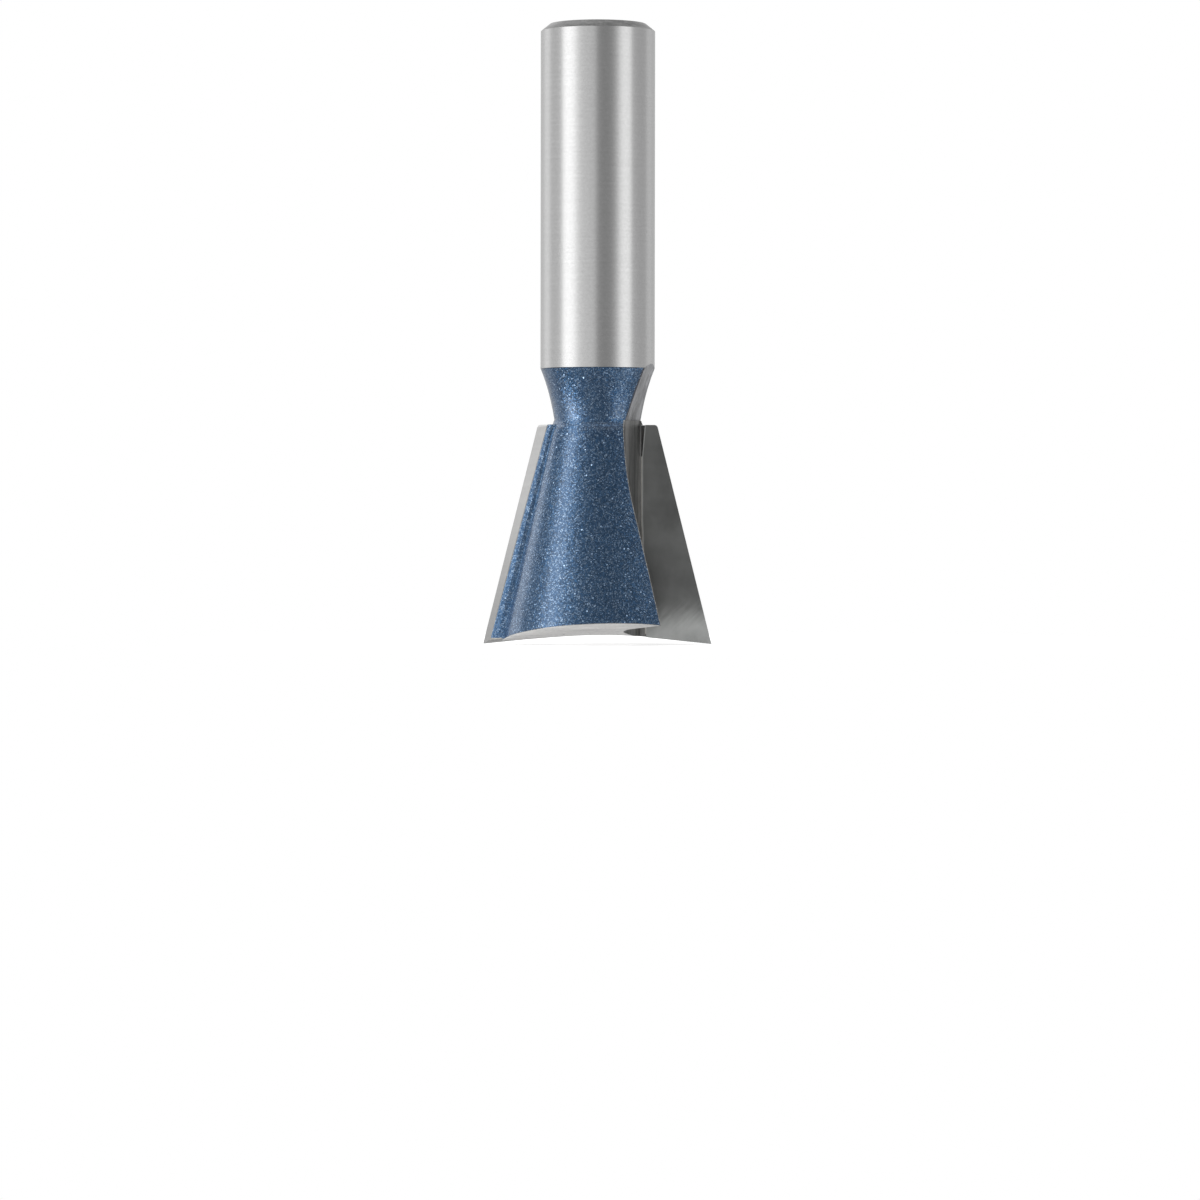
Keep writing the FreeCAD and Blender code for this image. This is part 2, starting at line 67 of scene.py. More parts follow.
class Graph:
    """Node tree with short calls for the nodes that the finishes share."""

    def __init__(self, tree: NodeTree) -> None:
        """Keep the tree."""
        self.tree = tree

    def add(self, kind: str, inputs: dict[str | int, Value] | None = None, **settings: object) -> Node:
        """Add a node.

        Args:
            kind: the node's type, without its ShaderNode prefix.
            inputs: value or socket for each input, by name or place.
            settings: properties of the node itself.

        Returns:
            The new node.
        """
        node = self.tree.nodes.new(f"ShaderNode{kind}")
        for name, value in settings.items():
            setattr(node, name, value)
        self.give(node, inputs or {})
        return node

    def give(self, node: Node, inputs: dict[str | int, Value]) -> None:
        """Link or set a node's inputs.

        Args:
            node: the node.
            inputs: value or socket for each input, by name or place.
        """
        for key, value in inputs.items():
            socket = node.inputs[key]
            if isinstance(value, NodeSocket):
                self.tree.links.new(value, socket)
            elif isinstance(value, tuple) and socket.type == "RGBA" and len(value) == 3:
                socket.default_value = (*value, 1.0)
            else:
                socket.default_value = value

    def math(self, operation: str, *values: Value, clamp: bool = False) -> NodeSocket:
        """Result of a Math node, within 0 and 1 if it is clamped."""
        return self.add("Math", dict(enumerate(values)), operation=operation, use_clamp=clamp).outputs[0]

    def product(self, *values: Value) -> NodeSocket:
        """Product of numbers, from left to right."""
        return reduce(lambda first, second: self.math("MULTIPLY", first, second), values)

    def plus(self, base: Value, first: Value, second: Value) -> NodeSocket:
        """Number with the product of two others added to it."""
        return self.math("MULTIPLY_ADD", first, second, base)

    def minus(self, first: Value, second: Value) -> NodeSocket:
        """Difference of two numbers."""
        return self.math("SUBTRACT", first, second)

    def lerp(self, share: Value, first: Value, second: Value) -> NodeSocket:
        """Number between two others, by the share of the second."""
        return self.plus(first, self.minus(second, first), share)

    def length(self, first: Value, second: Value) -> NodeSocket:
        """Length of a line with these two parts."""
        return self.math("SQRT", self.plus(self.product(second, second), first, first))

    def vector(self, operation: str, *values: Value) -> NodeSocket:
        """Vector that a Vector Math node gives."""
        return self.add("VectorMath", dict(enumerate(values)), operation=operation).outputs["Vector"]

    def measure(self, operation: str, *values: Value) -> NodeSocket:
        """Number that a Vector Math node gives, such as a length."""
        return self.add("VectorMath", dict(enumerate(values)), operation=operation).outputs["Value"]

    def scaled(self, vector: Value, factor: Value) -> NodeSocket:
        """Vector or colour times a number."""
        return self.add("VectorMath", {0: vector, "Scale": factor}, operation="SCALE").outputs["Vector"]

    def combine(self, x: Value = 0.0, y: Value = 0.0, z: Value = 0.0) -> NodeSocket:
        """Vector with these three parts."""
        return self.add("CombineXYZ", {0: x, 1: y, 2: z}).outputs[0]

    def split(self, vector: Value) -> list[NodeSocket]:
        """X, Y and Z of a vector."""
        return list(self.add("SeparateXYZ", {0: vector}).outputs)

    def blend(self, factor: Value, first: Value, second: Value) -> NodeSocket:
        """Colour between two others, by the share of the second."""
        return self.add("Mix", {0: factor, 6: first, 7: second}, data_type="RGBA").outputs[2]

    def lean(self, factor: Value, first: Value, second: Value) -> NodeSocket:
        """Vector between two others, by the share of the second."""
        return self.add("Mix", {0: factor, 4: first, 5: second}, data_type="VECTOR").outputs[1]

    def between(
        self, value: Value, low: float, high: float, to_low: Value = 0.0, to_high: Value = 1.0
    ) -> NodeSocket:
        """Value mapped softly from low and high, and not past them, to to_low and to_high."""
        inputs = {0: value, 1: low, 2: high, 3: to_low, 4: to_high}
        return self.add("MapRange", inputs, interpolation_type="SMOOTHSTEP").outputs[0]

    def noise(self, vector: Value, scale: float, detail: float = 2.0, roughness: float = 0.5) -> NodeSocket:
        """Soft noise about 0.5, with scale as its cells for each unit of the vector."""
        inputs = {"Vector": vector, "Scale": scale, "Detail": detail, "Roughness": roughness}
        return self.add("TexNoise", inputs).outputs[0]

    def swing(self, vector: Value, **settings: float) -> NodeSocket:
        """Soft noise about 0."""
        return self.minus(self.noise(vector, **settings), MEAN)

    @cached_property
    def place(self) -> NodeSocket:
        """Place on the object in millimetres."""
        return self.vector("MULTIPLY", self.add("TexCoord").outputs["Object"], (1.0 / MILLIMETRE,) * 3)

    @cached_property
    def axes(self) -> list[NodeSocket]:
        """X, Y and Z of that place."""
        return self.split(self.place)

    def use(self, effect: Effect, **inputs: Value) -> Sockets:
        """Outputs of a shared effect, placed in the tree with the material's own values."""
        node = self.add("Group", inputs, node_tree=bpy.data.node_groups[effect.value])
        return {output.name: output for output in node.outputs}

    def bump(self, height: Value, millimetres: float) -> NodeSocket:
        """Normal of a surface that rises by so many millimetres where the height is 1."""
        return self.add("Bump", {"Height": height, "Distance": millimetres * MILLIMETRE}).outputs["Normal"]


def build_effect(
    effect: Effect,
    fill: Callable[[Graph, Sockets], Sockets],
    inputs: dict[str, str],
    outputs: dict[str, str],
) -> None:
    """Build the shader node group of an effect.

    Args:
        effect: the effect.
        fill: adds the nodes and returns the socket for each output.
        inputs: kind of each input.
        outputs: kind of each output.
    """
    tree = bpy.data.node_groups.new(effect.value, "ShaderNodeTree")
    for side, kinds in (("INPUT", inputs), ("OUTPUT", outputs)):
        for name, kind in kinds.items():
            tree.interface.new_socket(name, in_out=side, socket_type=f"NodeSocket{kind}")
    start = tree.nodes.new("NodeGroupInput")
    end = tree.nodes.new("NodeGroupOutput")
    results = fill(Graph(tree), {name: start.outputs[name] for name in inputs})
    for name, result in results.items():
        tree.links.new(result, end.inputs[name])


def fill_flakes(graph: Graph, given: Sockets) -> Sockets:
    """Metal flakes: each cell is one flake with its own tilt.

    Args:
        graph: the group's tree.
        given: the group's inputs.

    Returns:
        The tilted normal, and a number between 0 and 1 for each flake.
    """
    cells = graph.add("TexVoronoi", {"Vector": given["Place"], "Scale": given["Density"]}).outputs["Color"]
    tilt = graph.scaled(graph.vector("SUBTRACT", cells, (MEAN,) * 3), given["Spread"])
    normal = graph.vector("NORMALIZE", graph.vector("ADD", given["Surface"], tilt))
    return {"Normal": normal, "Chance": graph.add("TexWhiteNoise", {"Vector": cells}).outputs["Value"]}


def fill_marks(graph: Graph, given: Sockets) -> Sockets:
    """Grinding or milling marks: noise drawn out along one direction.

    Args:
        graph: the group's tree.
        given: the group's inputs.

    Returns:
        Marks about 0, and their unevenness on a larger scale.
    """
    drawn = graph.vector("MULTIPLY", given["Place"], given["Stretch"])
    fine = graph.swing(drawn, scale=1.0, detail=3.0, roughness=0.62)
    return {"Marks": fine, "Broad": graph.swing(drawn, scale=0.21, detail=1.0)}


def fill_specks(graph: Graph, given: Sockets) -> Sockets:
    """Sparse specks, such as pores in a ground face or dirt on it.

    Args:
        graph: the group's tree.
        given: the group's inputs.

    Returns:
        Mask of the specks.
    """
    cells = graph.add("TexVoronoi", {"Vector": given["Place"], "Scale": given["Density"]})
    round_spot = graph.between(cells.outputs["Distance"], low=0.16, high=0.08)
    chance = graph.add("SeparateColor", {0: cells.outputs["Color"]}).outputs[0]
    rare = graph.math("GREATER_THAN", chance, given["Rarity"])
    return {"Mask": graph.product(round_spot, rare)}


def build_effects() -> None:
    """Build the shader node group of every effect once."""
    build_effect(
        Effect.FLAKES,
        fill_flakes,
        {"Place": "Vector", "Surface": "Vector", "Density": "Float", "Spread": "Float"},
        {"Normal": "Vector", "Chance": "Float"},
    )
    build_effect(
        Effect.MARKS,
        fill_marks,
        {"Place": "Vector", "Stretch": "Vector"},
        {"Marks": "Float", "Broad": "Float"},
    )
    build_effect(
        Effect.SPECKS,
        fill_specks,
        {"Place": "Vector", "Density": "Float", "Rarity": "Float"},
        {"Mask": "Float"},
    )


def new_material(name: str) -> tuple[Material, Graph, Node]:
    """Make a node material.

    Args:
        name: the material's name.

    Returns:
        The material, its graph and its Principled BSDF.
    """
    material = bpy.data.materials.new(name)
    material.use_nodes = True
    tree = material.node_tree
    return material, Graph(tree), tree.nodes["Principled BSDF"]


@dataclass(frozen=True)
class BareMetal:
    """Bare metal with the marks of the tool that finished it.

    Attributes:
        colour: mean colour of the metal.
        roughness: mean roughness.
        stretch: cells per millimetre of the marks along X, Y and Z.
        contrast: how far the marks change the colour.
        mottle: how far an even, fine grain changes the colour.
        bump_mm: height of the marks.
        roughness_swing: how far they change the roughness.
        shade: factors on the colour at the bottom and at the top of the tips: painted shade lower down and
            painted light higher up.
        speck_rarity: 1 for no dark specks, less for more of them.
    """

    colour: Colour
    roughness: float
    stretch: Triple
    contrast: float
    mottle: float
    bump_mm: float
    roughness_swing: float = 0.1
    shade: Pair = (1.0, 1.0)
    speck_rarity: float = 1.0

    def build(self, name: str) -> Material:
        """Make the material.

        Args:
            name: its name.

        Returns:
            The material.
        """
        material, graph, shader = new_material(name)
        marks = graph.use(Effect.MARKS, Place=graph.place, Stretch=self.stretch)
        grain = graph.swing(graph.place, scale=3.4, detail=3.0)
        swing = graph.plus(1.0, marks["Marks"], self.contrast)
        swing = graph.plus(swing, marks["Broad"], self.contrast)
        swing = graph.plus(swing, grain, self.mottle)
        # painted shade and light: the colour darkens towards the bottom of the tips and lightens towards
        # their top
        if self.shade != (1.0, 1.0):
            swing = graph.product(swing, graph.between(graph.axes[2], 0.0, TIP_TOP_MM, *self.shade))
        colour = graph.scaled(self.colour, swing)
        if self.speck_rarity < 1.0:
            specks = graph.use(Effect.SPECKS, Place=graph.place, Density=0.55, Rarity=self.speck_rarity)
            colour = graph.blend(specks["Mask"], colour, DARK_SPECK)
        rough = (marks["Marks"], self.roughness_swing, self.roughness)
        graph.give(shader, {
            "Base Color": colour,
            "Roughness": graph.math("MULTIPLY_ADD", *rough, clamp=True),
            "Normal": graph.bump(marks["Marks"], self.bump_mm),
            "Metallic": 1.0,
        })
        return material


BARE_METALS = {
    Zone.SHANK: BareMetal(
        colour=(0.63, 0.63, 0.63), roughness=0.2, stretch=(0.7, 0.7, 20.0),
        contrast=0.07, mottle=0.16, roughness_swing=0.08, bump_mm=0.0012,
    ),
    Zone.SHANK_END: BareMetal(
        colour=(0.235, 0.235, 0.235), roughness=0.36, stretch=(1.1, 1.1, 6.0),
        contrast=1.2, mottle=0.6, roughness_swing=0.2, bump_mm=0.004,
    ),
    Zone.GULLET: BareMetal(
        colour=(0.21, 0.21, 0.208), roughness=0.36, stretch=(6.5, 6.5, 0.3),
        contrast=1.4, mottle=0.2, roughness_swing=0.2, bump_mm=0.006,
    ),
    Zone.RUNOUT: BareMetal(
        colour=(0.39, 0.396, 0.408), roughness=0.4, stretch=(3.0, 3.0, 0.5),
        contrast=1.5, mottle=0.2, roughness_swing=0.15, bump_mm=0.006,
    ),
    Zone.SEAT: BareMetal(
        colour=(0.24, 0.235, 0.23), roughness=0.5, stretch=(3.0, 3.0, 1.0),
        contrast=0.3, mottle=0.2, bump_mm=0.004,
    ),
    Zone.LOBE_END: BareMetal(
        colour=(0.61, 0.605, 0.6), roughness=0.45, stretch=(0.6, 4.0, 4.0),
        contrast=0.5, mottle=0.5, bump_mm=0.003, speck_rarity=0.9,
    ),
    # the flank is painted darker towards the bottom of the tips and a little lighter at their top, as
    # painted shade and light
    Zone.FLANK: BareMetal(
        colour=(0.5, 0.5, 0.498), roughness=0.36, stretch=(1.0, 1.0, 9.0),
        contrast=0.14, mottle=0.1, bump_mm=0.001, shade=(0.7, 1.08),
    ),
    Zone.TIP_END: BareMetal(
        colour=(0.31, 0.31, 0.31), roughness=0.4, stretch=(9.0, 1.0, 9.0),
        contrast=0.2, mottle=0.1, bump_mm=0.001,
    ),
    Zone.BRAZE: BareMetal(
        colour=(0.5, 0.485, 0.45), roughness=0.42, stretch=(3.0, 3.0, 3.0),
        contrast=0.4, mottle=0.2, roughness_swing=0.2, bump_mm=0.006,
    ),
}


@dataclass(frozen=True)
class LappedCarbide:
    """Dark carbide of a rake face, lighter towards its foot in soft slanting streaks.

    Attributes:
        colour: colour of the upper part.
        roughness: roughness at the bottom and above the foot.
        stretch: cells per millimetre of the marks along X, Y and Z.
        contrast: how far the marks change the colour.
        cloud: darkest and lightest tone of broad, soft clouds.
        dust: colour of the dust specks.
        dust_cover: how much of the face a speck hides.
        foot: how much lighter the foot is.
        foot_height: height in millimetres where it starts to lighten.
        foot_depth: distance over which it does.
        foot_middle: distance from the axis where that height holds.
        foot_lean: rise of that height for each millimetre further out.
        streak: how far the streaks move it.
        root: inner edge of the tip from the axis.
        flare: how far that edge leans out at the bottom.
        flare_height: where it starts to.
        notch_bottom: height where the edge leans out again.
        notch_lean: how far it does for each millimetre above that.
        line_mm: width of the light line along that edge.
        line_gain: how much lighter the line is.
        line_heights: heights between which the line gains its strength.
    """

    colour: Colour = (0.2, 0.204, 0.201)
    roughness: Pair = (0.42, 0.32)
    stretch: Triple = (2.0, 1.0, 0.6)
    contrast: float = 0.12
    cloud: Pair = (0.84, 1.18)
    dust: Colour = (0.3, 0.3, 0.3)
    dust_cover: float = 0.5
    foot: float = 2.05
    foot_height: float = 4.9
    foot_depth: float = 4.2
    foot_middle: float = 8.5
    foot_lean: float = 0.22
    streak: float = 1.7
    root: float = 4.965
    flare: float = 0.5
    flare_height: float = 14.0
    notch_bottom: float = 20.85
    notch_lean: float = 0.086
    line_mm: float = 0.15
    line_gain: float = 2.1
    line_heights: Pair = (1.0, 3.0)

    def build(self) -> Material:
        """Make the material.

        Returns:
            The material.
        """
        material, graph, shader = new_material(Zone.RAKE.value)
        x, _, z = graph.axes
        out = graph.math("ABSOLUTE", x)
        marks = graph.use(Effect.MARKS, Place=graph.place, Stretch=self.stretch)
        cloud = graph.between(graph.noise(graph.place, 0.22, detail=3.0), 0.3, 0.7, *self.cloud)
        tone = graph.plus(cloud, marks["Marks"], self.contrast)
        tone = graph.product(tone, self._foot(graph, out), self._edge(graph, out))
        dust = graph.use(Effect.SPECKS, Place=graph.place, Density=0.5, Rarity=0.94)
        dusty = graph.product(dust["Mask"], self.dust_cover)
        graph.give(shader, {
            "Base Color": graph.blend(dusty, graph.scaled(self.colour, tone), self.dust),
            "Roughness": graph.between(z, 1.0, self.foot_height, *self.roughness),
            "Normal": graph.bump(marks["Marks"], millimetres=0.001),
            "Metallic": 1.0,
        })
        return material

    def _foot(self, graph: Graph, out: Value) -> NodeSocket:
        """Lighten the foot in soft slanting streaks.

        Args:
            graph: the material's tree.
            out: distance from the axis along the face.

        Returns:
            How much lighter the face is.
        """
        z = graph.axes[2]
        across = graph.product(graph.minus(out, z), 1.9)
        along = graph.product(graph.math("ADD", out, z), 0.3)
        streaks = graph.swing(graph.combine(across, along), scale=1.0)
        drop = graph.minus(self.foot_height, graph.plus(z, streaks, self.streak))
        further = graph.minus(out, self.foot_middle)
        leaning = graph.plus(drop, further, self.foot_lean)
        return graph.between(leaning, 0.0, self.foot_depth, 1.0, self.foot)

    def _edge(self, graph: Graph, out: Value) -> NodeSocket:
        """Light line along the inner edge.

        Args:
            graph: the material's tree.
            out: distance from the axis along the face.

        Returns:
            How much lighter the face is.
        """
        z = graph.axes[2]
        below = graph.math("SUBTRACT", 1.0, graph.product(z, 1.0 / self.flare_height), clamp=True)
        edge = graph.plus(self.root, below, self.flare)
        above = graph.math("MAXIMUM", graph.minus(z, self.notch_bottom), 0.0)
        edge = graph.plus(edge, above, self.notch_lean)
        gain = graph.between(z, *self.line_heights, 1.0, self.line_gain)
        return graph.between(graph.minus(out, edge), self.line_mm / 2, self.line_mm, gain, 1.0)


@dataclass(frozen=True)
class LobeEnd:
    """Plane of a lobe's relieved end, as the solids have it.

    Attributes:
        height: height of the plane at the axis, in millimetres.
        slope: its rise away from the axis, in degrees.
        lean: its rise towards the lobe's heel, in degrees.
        line_mm: width of the bare line along its edge.
    """

    height: float = 0.48
    slope: float = 10.75
    lean: float = 2.1
    line_mm: float = 0.07

    def edge_mask(self, graph: Graph) -> NodeSocket:
        """Mask a thin line along the edge of the end.

        Args:
            graph: the material's tree.

        Returns:
            The mask.
        """
        x, y, z = graph.axes
        outwards = graph.math("ABSOLUTE", y)
        rise = graph.plus(self.height, outwards, math.tan(math.radians(self.slope)))
        turned = graph.product(x, graph.math("SIGN", y))
        plane = graph.plus(rise, turned, -math.tan(math.radians(self.lean)))
        return graph.between(graph.minus(z, plane), self.line_mm, self.line_mm * LINE_CORE)


@dataclass(frozen=True)
class GulletCut:
    """Section of a gullet and line of its run-out, in millimetres, as the solids have them.

    Attributes:
        turn: turn of the section away from the rake face's normal, in degrees.
        floor: floor of the gullet from the axis.
        wall: wall of the gullet from the axis.
        corner: radius between floor and wall.
        top: height where the run-out starts.
        runout_turn: turn of the run-out, in degrees.
        runout_floor: run-out from the axis at its start.
        runout_radius: radius that it climbs on.
        runout_slope: its slope at the start, in degrees.
        line_start: depths behind the rake plane between which the bare line fades in.
        line_strength: strength of the line along the run-out.
        alignment: least cosine between the run-out's normal and that of a face on it.
    """

    turn: float = 25.0
    floor: float = 4.3
    wall: float = 3.95
    corner: float = 2.0
    top: float = 24.8
    runout_turn: float = 20.0
    runout_floor: float = 4.22
    runout_radius: float = 40.0
    runout_slope: float = 14.0
    line_start: Pair = (-1.0, -1.2)
    line_strength: float = 0.75
    alignment: float = 0.985

    def edge_mask(self, graph: Graph, width: float) -> NodeSocket:
        """Mask a line along the edges where the gullets and run-outs leave the turned surface.

        Args:
            graph: the material's tree.
            width: width of the line.

        Returns:
            The mask.
        """
        x, y, z = graph.axes
        side = graph.math("SIGN", x)
        east = graph.product(x, side)
        north = graph.product(y, side)
        above = graph.math("GREATER_THAN", z, self.top)
        distance = graph.lerp(above, *self._distances(graph, east, north))
        ragged = graph.plus(distance, graph.swing(graph.place, scale=2.5), width)
        strength = graph.between(above, 0.0, 1.0, 1.0, self.line_strength)
        front = graph.product(graph.between(north, *self.line_start), strength)
        return graph.product(graph.between(ragged, width, width * LINE_CORE), front)

    def on_runout(self, centre: Vector, normal: Vector) -> bool:
        """Tell whether a face lies on a run-out.

        Args:
            centre: the face's centre in millimetres.
            normal: the face's normal.

        Returns:
            Whether it does.
        """
        if centre.z < self.top - EDGE_SLACK_MM:
            return False
        side = 1.0 if centre.x > 0 else -1.0
        turn = math.radians(self.runout_turn)
        outward = Vector((math.cos(turn), -math.sin(turn), 0.0)) * side
        axis_out, axis_height = self._runout_axis()
        out = axis_out - centre.dot(outward)
        up = centre.z - axis_height
        facing = (outward * out - Vector((0.0, 0.0, up))).normalized()
        near = abs(math.hypot(out, up) - self.runout_radius) < FACE_REACH_MM
        return near and facing.dot(normal) > self.alignment

    def _runout_axis(self) -> Pair:
        """Distance from the cutter's axis, and height, of the line that the run-out bends around."""
        slope = math.radians(self.runout_slope)
        return (
            self.runout_floor + self.runout_radius * math.cos(slope),
            self.top - self.runout_radius * math.sin(slope),
        )

    def _along(self, graph: Graph, east: Value, north: Value, turn: float) -> NodeSocket:
        """Coordinate along a direction that is turned so many degrees from east, away from north."""
        angle = math.radians(turn)
        return graph.plus(graph.product(north, -math.sin(angle)), east, math.cos(angle))

    def _distances(self, graph: Graph, east: Value, north: Value) -> tuple[Value, Value]:
        """Distances from the gullet's section and from the run-out, outside them.

        Args:
            graph: the material's tree.
            east: coordinate along the rake face.
            north: coordinate behind it.

        Returns:
            The two distances.
        """
        along = self._along(graph, east, north, self.turn)
        across = self._along(graph, east, north, self.turn - QUARTER_TURN)
        over = graph.math("MAXIMUM", graph.minus(self.floor + self.corner, along), 0.0)
        past = graph.math("MAXIMUM", graph.minus(self.corner - self.wall, across), 0.0)
        gullet = graph.minus(graph.length(over, past), self.corner)
        axis_out, axis_height = self._runout_axis()
        along = self._along(graph, east, north, self.runout_turn)
        reach = graph.length(graph.minus(axis_out, along), graph.minus(graph.axes[2], axis_height))
        runout = graph.minus(reach, self.runout_radius)
        return graph.math("ABSOLUTE", gullet), graph.math("ABSOLUTE", runout)


@dataclass(frozen=True)
class PaintFilm:
    """Rounding where the paint lies thicker: its flakes turn there, and the solid stays as it is.

    Attributes:
        shoulder: heights between which the shoulder of neck and lobes is rounded.
        shoulder_tilt: upward tilt of the rounded surface at those heights.
        shoulder_share: how far the surface turns there.
        soft: distance on each side of those heights over which it starts and ends.
        turned: outward parts of a normal between which a surface counts as turned.
        wing: the same for a wing's back.
        wing_root: distances behind the rake plane between which a wing's root is rounded.
        wing_share: how far the surface turns to the wing there.
        wing_front: distance behind the rake plane where that ends.
        wing_lean: how far the wing's back leans outwards.
    """

    shoulder: Pair = (23.3, 25.4)
    shoulder_tilt: Pair = (0.22, -0.13)
    shoulder_share: float = 0.85
    soft: float = 0.4
    turned: Pair = (0.7, 0.9)
    wing: Pair = (0.7, 0.5)
    wing_root: Pair = (3.0, 2.2)
    wing_share: float = 0.5
    wing_front: float = 1.0
    wing_lean: float = 0.15

    def normal(self, graph: Graph) -> NodeSocket:
        """Normal of the flakes' ground.

        Args:
            graph: the material's tree.

        Returns:
            The normal.
        """
        x, y, z = graph.axes
        low, high = self.shoulder
        surface = graph.add("NewGeometry").outputs["Normal"]
        radial = graph.vector("NORMALIZE", graph.combine(x, y))
        facing = graph.measure("DOT_PRODUCT", surface, radial)
        tilt = graph.between(z, *self.shoulder, *self.shoulder_tilt)
        leaning = graph.vector("NORMALIZE", graph.vector("ADD", radial, graph.combine(z=tilt)))
        started = graph.between(z, low - self.soft, low + self.soft)
        not_ended = graph.between(z, high + self.soft, high - self.soft)
        turned = graph.between(facing, *self.turned, 0.0, self.shoulder_share)
        share = graph.product(started, not_ended, turned)
        shouldered = graph.lean(share, surface, leaning)
        side = graph.math("SIGN", x)
        depth = graph.product(y, side)
        root = graph.between(depth, *self.wing_root, 0.0, self.wing_share)
        behind = graph.math("GREATER_THAN", depth, self.wing_front)
        below_neck = graph.between(z, high - self.soft, low + self.soft)
        root = graph.product(root, behind, below_neck, graph.between(facing, *self.turned))
        rooted = graph.lean(root, shouldered, graph.combine(y=side))
        outward = graph.scaled(radial, graph.between(facing, *self.wing, 0.0, self.wing_lean))
        return graph.vector("NORMALIZE", graph.vector("ADD", rooted, outward))


@dataclass(frozen=True)
class FlakePaint:
    """Blue metal-flake paint under a clear coat, worn to a bare line along the milled edges.

    Attributes:
        pigment: colour of the fine flakes and the ground between them.
        flake: colour of the few large flakes.
        cloud: darkest and lightest tone of broad, soft clouds.
        fine: fine flakes per millimetre.
        fine_tilt: how far they tilt.
        fine_cover: how much of the flakes' own colour the brightest of them show.
        fine_rarity: power that keeps bright ones few.
        large: large flakes per millimetre.
        large_tilt: how far they tilt.
        large_share: share of the large cells that hold a flake.
        large_shift: how far the large cells are moved from the fine ones.
        roughness: roughness of the fine and the large flakes.
        coat: weight of the clear coat.
        dirt: colour of specks of dirt.
        dirt_cover: how much of the paint a speck hides.
        top: upper border of the paint.
        top_shade: factor on the colour along that border, a painted shadow along the paint's edge.
        line_mm: width of that border and of the bare line.
        gullet_line: colour of the bare line along the gullets.
        runout_line: colour of the bare line along the run-outs.
        film: where the paint rounds the shape.
        cut: where the gullets cut through it.
        end: where the lobes' ends do.
    """

    pigment: Colour = (0.036, 0.098, 0.203)
    flake: Colour = (0.34, 0.46, 0.62)
    cloud: Pair = (0.9, 1.1)
    fine: float = 9.2
    fine_tilt: float = 0.3
    fine_cover: float = 0.83
    fine_rarity: float = 4.5
    large: float = 8.6
    large_tilt: float = 0.7
    large_share: float = 0.01
    large_shift: Triple = (3.1, 1.7, 2.3)
    roughness: Pair = (0.26, 0.2)
    coat: float = 0.72
    dirt: Colour = (0.10, 0.075, 0.06)
    dirt_cover: float = 0.6
    top: float = 30.6
    top_shade: float = 0.45
    line_mm: float = 0.1
    gullet_line: Colour = (0.44, 0.43, 0.41)
    runout_line: Colour = (0.14, 0.125, 0.12)
    film: PaintFilm = PaintFilm()
    cut: GulletCut = GulletCut()
    end: LobeEnd = LobeEnd()

    def build(self) -> Material:
        """Make the material.

        Returns:
            The material.
        """
        material, graph, shader = new_material(Zone.PAINT.value)
        fine, large, bright = self._flakes(graph)
        z = graph.axes[2]
        # painted shadow: a thin darker line along the paint's top border
        rim = graph.between(z, self.top - self.line_mm, self.top - self.line_mm / 2, 1.0, self.top_shade)
        colour = graph.scaled(self._colour(graph, fine["Chance"], bright), rim)
        bare = graph.math("MAXIMUM", self.cut.edge_mask(graph, self.line_mm), self.end.edge_mask(graph))
        line = graph.blend(graph.math("GREATER_THAN", z, self.cut.top), self.gullet_line, self.runout_line)
        graph.give(shader, {
            "Base Color": graph.blend(bare, colour, line),
            "Roughness": graph.between(bright, 0.0, 1.0, *self.roughness),
            "Coat Weight": graph.plus(self.coat, bare, -self.coat),
            "Normal": graph.lean(bright, fine["Normal"], large["Normal"]),
            "Metallic": 0.9,
            "Coat Roughness": 0.12,
            "Coat IOR": 1.5,
        })
        return material

    def _colour(self, graph: Graph, chance: Value, bright: Value) -> NodeSocket:
        """Colour of the whole paint, away from its borders.

        Args:
            graph: the material's tree.
            chance: number of each fine flake.
            bright: mask of the large flakes.

        Returns:
            The colour.
        """
        cloud = graph.between(graph.noise(graph.place, 0.9, detail=3.0), 0.25, 0.75, *self.cloud)
        glint = graph.product(graph.math("POWER", chance, self.fine_rarity), self.fine_cover)
        colour = graph.blend(glint, graph.scaled(self.pigment, cloud), self.flake)
        colour = graph.blend(bright, colour, self.flake)
        specks = graph.use(Effect.SPECKS, Place=graph.place, Density=0.22, Rarity=0.93)
        return graph.blend(graph.product(specks["Mask"], self.dirt_cover), colour, self.dirt)

    def _flakes(self, graph: Graph) -> tuple[Sockets, Sockets, NodeSocket]:
        """Lay a fine layer of flakes and a few large ones.

        Args:
            graph: the material's tree.

        Returns:
            The fine layer, the large flakes and the mask of those.
        """
        ground = self.film.normal(graph)
        moved = graph.vector("ADD", graph.place, self.large_shift)
        fine = graph.use(
            Effect.FLAKES, Place=graph.place, Surface=ground, Density=self.fine, Spread=self.fine_tilt
        )
        large = graph.use(
            Effect.FLAKES, Place=moved, Surface=ground, Density=self.large, Spread=self.large_tilt
        )
        return fine, large, graph.math("LESS_THAN", large["Chance"], self.large_share)


class Finishes:
    """The material of each zone."""

    def __init__(self) -> None:
        """Build the shared effects and every material."""
        build_effects()
        self.materials = {zone: metal.build(zone.value) for zone, metal in BARE_METALS.items()}
        self.materials[Zone.RAKE] = LappedCarbide().build()
        self.materials[Zone.PAINT] = FlakePaint().build()

    def dress(self, node: str, zone_of: Callable[[Vector, Vector], Zone]) -> None:
        """Give each face of a solid the material of its zone.

        Args:
            node: the solid's name.
            zone_of: tells a face's zone from its centre in millimetres and its normal.
        """
        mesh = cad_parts[node].data
        zones = [zone_of(polygon.center / MILLIMETRE, polygon.normal) for polygon in mesh.polygons]
        used = sorted(set(zones), key=lambda zone: zone.value)
        mesh.materials.clear()
        for zone in used:
            mesh.materials.append(self.materials[zone])
        mesh.polygons.foreach_set("material_index", [used.index(zone) for zone in zones])
        log.info("%s: %s", node, ", ".join(f"{zone.value} {zones.count(zone)}" for zone in used))


